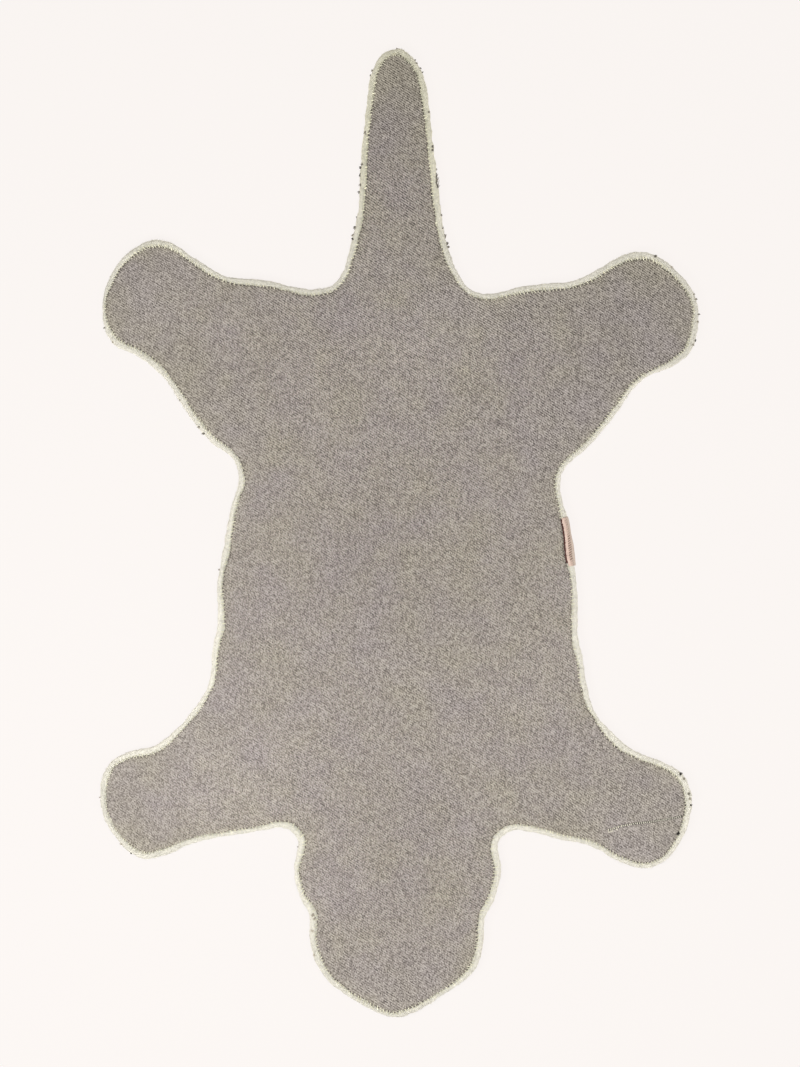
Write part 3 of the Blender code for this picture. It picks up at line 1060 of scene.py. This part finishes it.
# Dark yarn ends that show at the rug's edge, in millimetres: where, how thick, how long, how
# far they turn from the way out of the edge, and the shade, from 0, black, to 1, faded.
YarnEnd = namedtuple("YarnEnd", "x y thick length turn shade")
YARN_ENDS = table(YarnEnd, (
    # tail
    (-2.5, 484, 0.8, 1.5, 70, 0.9), (-27.5, 462.5, 1.2, 1.6, 20, 0.9),
    (-28.5, 457.5, 1.2, 1.8, 10, 0.5), (-34.5, 399.5, 0.7, 3.0, 80, 0.9),
    (-37.5, 368.5, 1.3, 1.8, 10, 0.6), (-39, 365, 1.5, 1.8, 0, 0.1),
    (-39.1, 357.5, 1.1, 3.0, 85, 0.15), (-39.1, 347.5, 0.9, 2.2, 85, 0.8),
    (-40.5, 340.5, 1.4, 1.8, 10, 0.25), (-42.5, 315.5, 0.9, 1.6, 30, 0.4),
    (-45, 305.5, 1.4, 2.0, 10, 0.5), (-46.9, 297.5, 1.0, 2.4, 70, 0.9),
    (-46.9, 293.5, 1.5, 1.6, 10, 0), (15.5, 472.5, 1.0, 1.5, 20, 0.7),
    (17, 469.5, 1.0, 1.5, 0, 0.9), (20.5, 464.5, 1.1, 1.7, -10, 0.3),
    (22.5, 460.5, 1.1, 1.7, 0, 0.3), (29.5, 420.5, 0.9, 1.5, 0, 0.8),
    (33.1, 386, 1.4, 1.6, 0, 0.4), (33.1, 382.5, 1.4, 1.6, 0, 0.4),
    (36.5, 363.5, 1.1, 1.7, 0, 0.1), (36.9, 357.5, 1.0, 3.4, 86, 0.4),
    (37.3, 353.5, 1.1, 4.2, 86, 0.9), (37.6, 349.5, 1.2, 4.0, 86, 0.6),
    (38, 346.3, 1.0, 2.6, 80, 0.3), (41.5, 317.5, 1.0, 1.7, 0, 0.6),
    (43, 304.5, 1.1, 1.8, 10, 0.6), (45.5, 296.5, 1.0, 3.4, 80, 0.7),
    (48, 289.5, 1.2, 2.6, 60, 0.5), (48.5, 285.5, 1.1, 2.0, 20, 0.5),
    # hind leg left
    (-295.5, 204.5, 0.9, 1.8, 30, 0.6), (-287, 190.5, 0.9, 1.8, 20, 1.6),
    (-219.5, 132.5, 0.9, 1.6, 0, 0.8), (-201, 105.5, 1.2, 1.8, 10, 1.0),
    (-196, 98.5, 1.3, 2.0, 0, 0.5),
    # hind leg right
    (256, 276.5, 1.5, 2.0, 10, 0.4), (272.5, 265.5, 0.8, 1.6, 0, 1.6),
    (294.5, 238.5, 0.8, 1.8, 20, 1.3), (296.5, 233.5, 1.0, 1.8, 0, 0.9),
    (299.5, 218.5, 0.9, 1.8, 10, 0.5), (298.5, 210.5, 0.9, 1.8, 0, 1.2),
    (295.5, 192, 1.3, 2.0, 0, 0.15), (293.5, 187.5, 1.0, 1.8, 20, 1.0),
    # left side
    (-181, -37.5, 0.9, 1.6, 0, 0.9),
    # front leg right
    (281, -241.5, 1.3, 2.4, 30, -0.1), (284.5, -246.5, 1.2, 1.8, 10, 1.0),
    (289.5, -261.5, 1.3, 2.0, 10, 0.7), (290, -266, 1.0, 1.6, 60, 1.3),
    (291.5, -272.5, 1.1, 1.6, 80, 0.25), (278.5, -301, 2.1, 2.1, 50, -0.1),
    # front leg left
    (-299.5, -265, 0.8, 1.6, 10, 1.3), (-278.5, -311.5, 0.8, 1.8, 0, 1.5),
    (-268.5, -320.5, 1.1, 2.0, 10, 0.2),
    # head left
    (-101, -314.5, 0.9, 1.8, 20, 0.7), (-86.5, -382.5, 0.9, 3.0, 70, 1.3),
    (-85, -386, 0.9, 2.4, 30, 1.4), (-87, -398.5, 0.9, 2.0, 30, 1.8),
    (-85.5, -422.5, 0.9, 1.8, 20, 1.8),
))
# How much each strand of an end strays: most are tight, and a few have frayed loose.
STRANDS = [1.0] * 6 + [1.6] * 3
STRAND = 0.50              # a strand's thickness, as a share of its end's
ON_BACKING = 10.6          # height of an end that lies on the backing, in millimetres
PROUD_END = 0.4 * MM       # no end's middle is further out than this, so that its root is held
END_THICK, END_LONG = 1.6, 1.25       # size of the frayed end for that of its tight yarn


def strand_unit():
    """Curled strand of yarn along Z, a millimetre thick and long, to be sized where it goes."""
    strand = rod(5, 0.5 * MM, 0.28 * MM, MM)
    bpy.ops.object.mode_set(mode="EDIT")
    bpy.ops.mesh.select_all(action="SELECT")
    bpy.ops.mesh.bisect(plane_co=(0, 0, 0.55 * MM), plane_no=(0, 0, 1))
    bpy.ops.transform.resize(value=(1.2, 1.2, 1.0))
    bpy.ops.transform.translate(value=(0.22 * MM, 0, 0))
    bpy.ops.object.mode_set(mode="OBJECT")
    return strand


class RUG_OT_yarn_ends(bpy.types.Operator):
    """Dark yarn ends that show at the rug's edge"""

    bl_idname = "rug.yarn_ends"
    bl_label = "Add Dark Yarn Ends"

    def execute(self, context):
        edge = rug_edge()
        rng = np.random.default_rng(44)
        profile = np.array([row[:2] for row in TURNED_EDGE[5:]]).T
        strands = []
        for end in YARN_ENDS:
            spot = np.array([end.x, end.y]) * MM
            i = np.hypot(*(edge.place - spot).T).argmin()
            inward, rim = edge.inward[i], edge.rim[i]
            deep = np.dot(spot - edge.place[i], inward)
            spot = spot + inward * max(0.0, -PROUD_END - deep)
            height = ON_BACKING
            if deep <= rim:
                height = np.interp(np.clip(deep / rim, 0, 1), *profile) + 0.1
            turn = math.radians(end.turn)
            flat = -inward * math.cos(turn) - quarter(inward) * math.sin(turn)
            beside = quarter(flat)
            thick, long = END_THICK * end.thick, END_LONG * end.length
            for stray in STRANDS:
                aside = rng.uniform(-0.3, 0.3) * thick * stray
                origin = (*(spot + (beside * aside - 0.5 * flat * long) * MM),
                          (height + rng.uniform(0.0, 0.25) * thick) * MM)
                way = (*flat, -0.05) + rng.normal(0, 0.22 * stray, 3) * (1, 1, 0.4)
                roll = rng.uniform(0, 2 * math.pi)
                girth = STRAND * thick / stray ** 0.5
                scale = (girth, girth, long * rng.uniform(0.75, 1.1) * stray ** 0.4)
                shade = end.shade + rng.uniform(-0.1, 0.1) + 0.5 * (stray - 1)
                strands.append(
                    (origin, way, (*(beside * math.cos(roll)), math.sin(roll)), scale, shade))
        *placing, shades = (np.array(part) for part in zip(*strands))
        stamp("dark_yarn_ends", strand_unit(), frames(*placing),
              cotton("dark_yarn", settings().colours.dark_yarn, 0.6), shades * 10)
        return {"FINISHED"}


# ---------------------------------------------------------------- label

LABEL_SIDE = 100 * MM      # the label is at the edge that is further right than this
LABEL_TOP = 16.0 * MM
LABEL_BOTTOM = -33.0 * MM
LABEL_STEPS = 56
# How far the tape's fold stands out past the edge, at heights from the label's bottom up.
LABEL_PROUD_AT = (LABEL_BOTTOM, -12 * MM, 0.0, LABEL_TOP)
LABEL_PROUD = (0.8 * MM, 1.2 * MM, 0.2 * MM, 0.0)
TAPE = 0.38 * MM
BLUSH = (0.76, 0.52, 0.44)
FADED_TAPE = (0.67, 0.54, 0.45)
SKEW = 0.03                # how much the tape's fold strays in and out along the label
# The dark thread at its inner side, painted shade for the gap between the label and the backing:
# points along it, how thick and how high it is, and where it starts and ends.
SEAM_STEPS = 40
SEAM_GIRTH = 1.15 * MM
SEAM_TOP = 11.0 * MM
SEAM_WAVE = 0.08 * MM
GAP_SPAN = (LABEL_TOP - 1.0 * MM, LABEL_BOTTOM + 3.0 * MM)

# Line that the folded tape follows across the turned edge, from under the seam out to the fold
# and back, as (share of the rim, height in millimetres).
TAPE_LINE = (
    (0.88, 10.9), (0.84, 11.25), (0.76, 11.5), (0.62, 11.58), (0.48, 11.5), (0.34, 11.3),
    (0.18, 10.95), (0.06, 10.55), (-0.02, 10.25), (-0.035, 10.05), (0.03, 9.95), (0.16, 10.25),
    (0.30, 10.6), (0.46, 10.85), (0.66, 10.9), (0.90, 10.7),
)


def salmon_tape():
    """Woven satin tape with a stripe of slanted ticks along its outer half."""
    colours = settings().colours
    s = Fabric("salmon_tape", 0.6, 0.2)
    run, across = s.attribute("run"), s.attribute("across")
    tape = s.plane(run, across)
    ribs = s.woven(tape, 0.55, 0.9)
    slant = s.math("MULTIPLY_ADD", across, 0.6, run)
    ticks = s.ramp(s.math("PINGPONG", s.math("DIVIDE", slant, 2.3 * MM), 0.5), 0.17, 0.33)
    ticks = s.product(
        ticks, s.ramp(s.noise(tape, 2.2), 0.38, 0.55, 0.3, 1.0),
        s.ramp(run, 16 * MM, 22 * MM, 0.35, 1.0), s.ramp(run, 42 * MM, 45 * MM, 1.0, 0.2))
    stripe = s.product(
        s.ramp(across, 2.6 * MM, 3.6 * MM), s.ramp(across, 5.2 * MM, 6.2 * MM, 1.0, 0.0),
        s.math("ADD", ticks, 0.24))
    blush = s.math("MULTIPLY", s.mottled(tape, 7), 0.45)
    tint = s.blend(blush, colours.tape, BLUSH)
    tint = s.blend(s.ramp(across, 4.2 * MM, 5.6 * MM), tint, FADED_TAPE)
    tint = s.blend(stripe, tint, colours.tape_stripe)
    shade = s.total(
        (ribs["Yarn"], 0.5, 0.16), (ribs["Ridge"], 0.6, 0.14), (s.noise(tape, 1.2), 0.5, 0.35))
    return s.paint(tint, shade, ribs["Ridge"], 0.07)


class RUG_OT_label(bpy.types.Operator):
    """Folded loop of woven tape in the seam, and a dark thread laid at its inner side as painted
    shade for the gap there
    """

    bl_idname = "rug.label"
    bl_label = "Add Label"

    def execute(self, context):
        rng = np.random.default_rng(52)
        self.tape(rng)
        self.seam(rng)
        return {"FINISHED"}

    @staticmethod
    def side_at(heights):
        """The edge's place, way in and rim at heights along the label's side."""
        edge = rug_edge()
        right = np.flatnonzero(
            (edge.place[:, 0] > LABEL_SIDE) & (np.abs(edge.place[:, 1]) < 60 * MM))
        order = right[np.argsort(edge.place[right, 1])]
        return edge_at(edge, np.interp(heights, edge.place[order, 1], order))

    def tape(self, rng):
        heights = np.linspace(LABEL_TOP, LABEL_BOTTOM, LABEL_STEPS)
        place, inward, rim = self.side_at(heights)
        rows = 3 * len(TAPE_LINE)
        line = [np.interp(np.linspace(0, 1, rows), np.linspace(0, 1, len(TAPE_LINE)), column)
                for column in zip(*TAPE_LINE)]
        for column in line * 2:
            column[1:-1] = np.convolve(column, (0.25, 0.5, 0.25), "valid")
        share, height = line
        proud = np.interp(heights, LABEL_PROUD_AT, LABEL_PROUD)
        wave = np.interp(heights, np.linspace(LABEL_BOTTOM, LABEL_TOP, 9), rng.normal(0, 0.09, 9))
        deselect()
        bpy.ops.mesh.primitive_grid_add(
            x_subdivisions=rows - 1, y_subdivisions=LABEL_STEPS - 1, size=2)
        obj = bpy.context.object
        obj.name = obj.data.name = "folded_label"
        j, i = np.divmod(np.arange(rows * LABEL_STEPS), rows)
        deep = rim[j] * share[i] * (1 + SKEW * np.sin(j * 0.45))
        deep -= proud[j] * np.clip(1 - share[i] / 0.7, 0, None)
        top = (height[i] + wave[j] * np.clip(share[i] * 2 + 0.3, 0, 1)) * MM
        spots = np.column_stack([place[j] + inward[j] * deep[:, None], top])
        obj.data.vertices.foreach_set("co", spots.astype(np.float32).ravel())
        add_values(obj.data, run=heights[0] - heights[j],
                   across=np.where(i < rows * 0.6, (0.95 - share[i]) * rim[j], 0.0))
        faces_out(obj)
        thick = obj.modifiers.new("Tape", "SOLIDIFY")
        thick.thickness, thick.offset = TAPE, 0.0
        bpy.ops.object.modifier_apply(modifier=thick.name)
        obj.data.shade_smooth()
        obj.data.materials.append(salmon_tape())
        belongs(obj, "salmon_tape", "label")

    # The dark thread is painted shade: it lies in the gap at the label's inner side, where shade
    # falls.
    def seam(self, rng):
        place, inward, rim = self.side_at(np.linspace(*GAP_SPAN, SEAM_STEPS))
        way = place + inward * (rim - 0.30 * MM)[:, None]
        deselect()
        bpy.ops.curve.primitive_bezier_curve_add(radius=1)
        curve = bpy.context.object
        curve.name = curve.data.name = "label_seam_thread"
        line = curve.data
        line.splines.clear()
        points = line.splines.new("POLY").points
        points.add(SEAM_STEPS - 1)
        middle = (SEAM_STEPS - 1) / 2
        for k, (point, spot) in enumerate(zip(points, way)):
            point.co = (*spot, SEAM_TOP + SEAM_WAVE * math.sin(k * 1.9), 1)
            point.radius = rng.uniform(0.35, 1.15) - 0.3 * (abs(k - middle) / middle) ** 6
        line.bevel_depth, line.bevel_resolution, line.use_fill_caps = SEAM_GIRTH, 2, True
        bpy.ops.object.convert(target="MESH")
        obj = bpy.context.object
        obj.data.shade_smooth()
        add_values(obj.data, shade=np.full(len(obj.data.vertices), 0.5))
        obj.data.materials.clear()
        obj.data.materials.append(cotton("gap_shade_thread", settings().colours.seam, 0.8))
        belongs(obj, "salmon_tape")


# ---------------------------------------------------------------- empty step

class RUG_OT_cloths(bpy.types.Operator):
    """Empty step that changes nothing"""

    bl_idname = "rug.cloths"
    bl_label = "Declare Cloths"

    def execute(self, context):
        return {"FINISHED"}


# ---------------------------------------------------------------- stage

CAMERA_LENS = 100.0
CAMERA_AIM = (0.5 * MM, -1.0 * MM, 10.7 * MM)
VIEW_HEIGHT = 1.067        # what the picture's long side takes in at the rug
SENSOR = 36.0
FLOOR_SIZE = 20.0
FLOOR_BARE = 0.08          # how much of the floor's colour the light makes
FLOOR_GLOW = 0.925         # and how much it gives by itself, as a lit backdrop
AIR = (1.0, 0.985, 0.97)
AIR_GLOW = 0.37
# Soft lamps that shine at the rug's middle: (name, place, size, power)
LAMPS = (
    ("window_light", (-0.53, -0.38, 0.95), 0.6, 6.0),
    ("room_light", (0.43, -0.52, 0.95), 0.6, 1.9),
    ("ceiling_light", (0.1, 0.1, 3.2), 2.4, 17.0),
    ("side_light", (2.4, -0.2, 0.65), 1.0, 7.8),
)


class RUG_OT_stage(bpy.types.Operator):
    """Pale floor, soft light from one side, and the camera straight above"""

    bl_idname = "rug.stage"
    bl_label = "Add Stage"

    def execute(self, context):
        self.floor(settings().colours.floor)
        self.light(context.scene)
        self.camera(context.scene)
        return {"FINISHED"}

    @staticmethod
    def floor(tint):
        deselect()
        bpy.ops.mesh.primitive_plane_add(size=FLOOR_SIZE, location=(0, 0, 0))
        floor = bpy.context.object
        floor.name = floor.data.name = "studio_floor"
        s = Fabric("studio_floor", 0.9, 0.0)
        shade = s.total((s.noise(s.place, 400), 0.5, 0.02))
        s.feed(s.shader["Base Color"], s.times([part * FLOOR_BARE for part in tint], shade))
        s.feed(s.shader["Emission Color"], tint)
        s.feed(s.shader["Emission Strength"], FLOOR_GLOW)
        s.feed(s.shader["Specular IOR Level"], 0.0)
        floor.data.materials.append(s.material)

    @staticmethod
    def light(scene):
        for name, place, size, power in LAMPS:
            lamp = bpy.data.lights.new(name, "AREA")
            lamp.energy, lamp.size, lamp.shape = power, size, "DISK"
            light = link_new(name, lamp)
            light.location = place
            light.rotation_euler = Vector(place).to_track_quat("Z", "Y").to_euler()
        scene.world = bpy.data.worlds.new("studio_air")
        scene.world.use_nodes = True
        backdrop = scene.world.node_tree.nodes["Background"]
        backdrop.inputs["Color"].default_value = (*AIR, 1.0)
        backdrop.inputs["Strength"].default_value = AIR_GLOW

    @staticmethod
    def camera(scene):
        lens = bpy.data.cameras.new("camera")
        lens.lens, lens.sensor_width = CAMERA_LENS, SENSOR
        camera = link_new("camera", lens)
        camera.location = Vector(CAMERA_AIM) + Vector(UP) * VIEW_HEIGHT * CAMERA_LENS / SENSOR
        scene.camera = camera
        scene.view_settings.view_transform = "Standard"


# ---------------------------------------------------------------- panel and run

STEPS = (
    RUG_OT_turned_edge, RUG_OT_backing, RUG_OT_stitches, RUG_OT_pile, RUG_OT_yarn_ends,
    RUG_OT_label, RUG_OT_cloths, RUG_OT_stage,
)


class RUG_PT_panel(bpy.types.Panel):
    """Lists the rug's parts in the 3D view's sidebar"""

    bl_idname = "RUG_PT_panel"
    bl_label = "Animal Shaped Kids Rug"
    bl_space_type = "VIEW_3D"
    bl_region_type = "UI"
    bl_category = "Kids Rug"

    def draw(self, context):
        chosen = context.scene.kids_rug
        for group in (chosen.sizes, chosen.colours):
            box = self.layout.box()
            for key in group.__annotations__:
                box.prop(group, key)
        for step in STEPS:
            self.layout.operator(step.bl_idname)


CLASSES = (RugSizes, RugColours, RugSettings, *STEPS, RUG_PT_panel)


def register():
    for kind in CLASSES:
        bpy.utils.register_class(kind)
    bpy.types.Scene.kids_rug = PointerProperty(type=RugSettings)


def unregister():
    del bpy.types.Scene.kids_rug
    for kind in reversed(CLASSES):
        bpy.utils.unregister_class(kind)


def main():
    register()
    bpy.ops.rug.turned_edge()
    bpy.ops.rug.backing()
    bpy.ops.rug.stitches()
    bpy.ops.rug.pile()
    bpy.ops.rug.yarn_ends()
    bpy.ops.rug.label()
    bpy.ops.rug.cloths()
    bpy.ops.rug.stage()


if __name__ == "__main__":
    main()
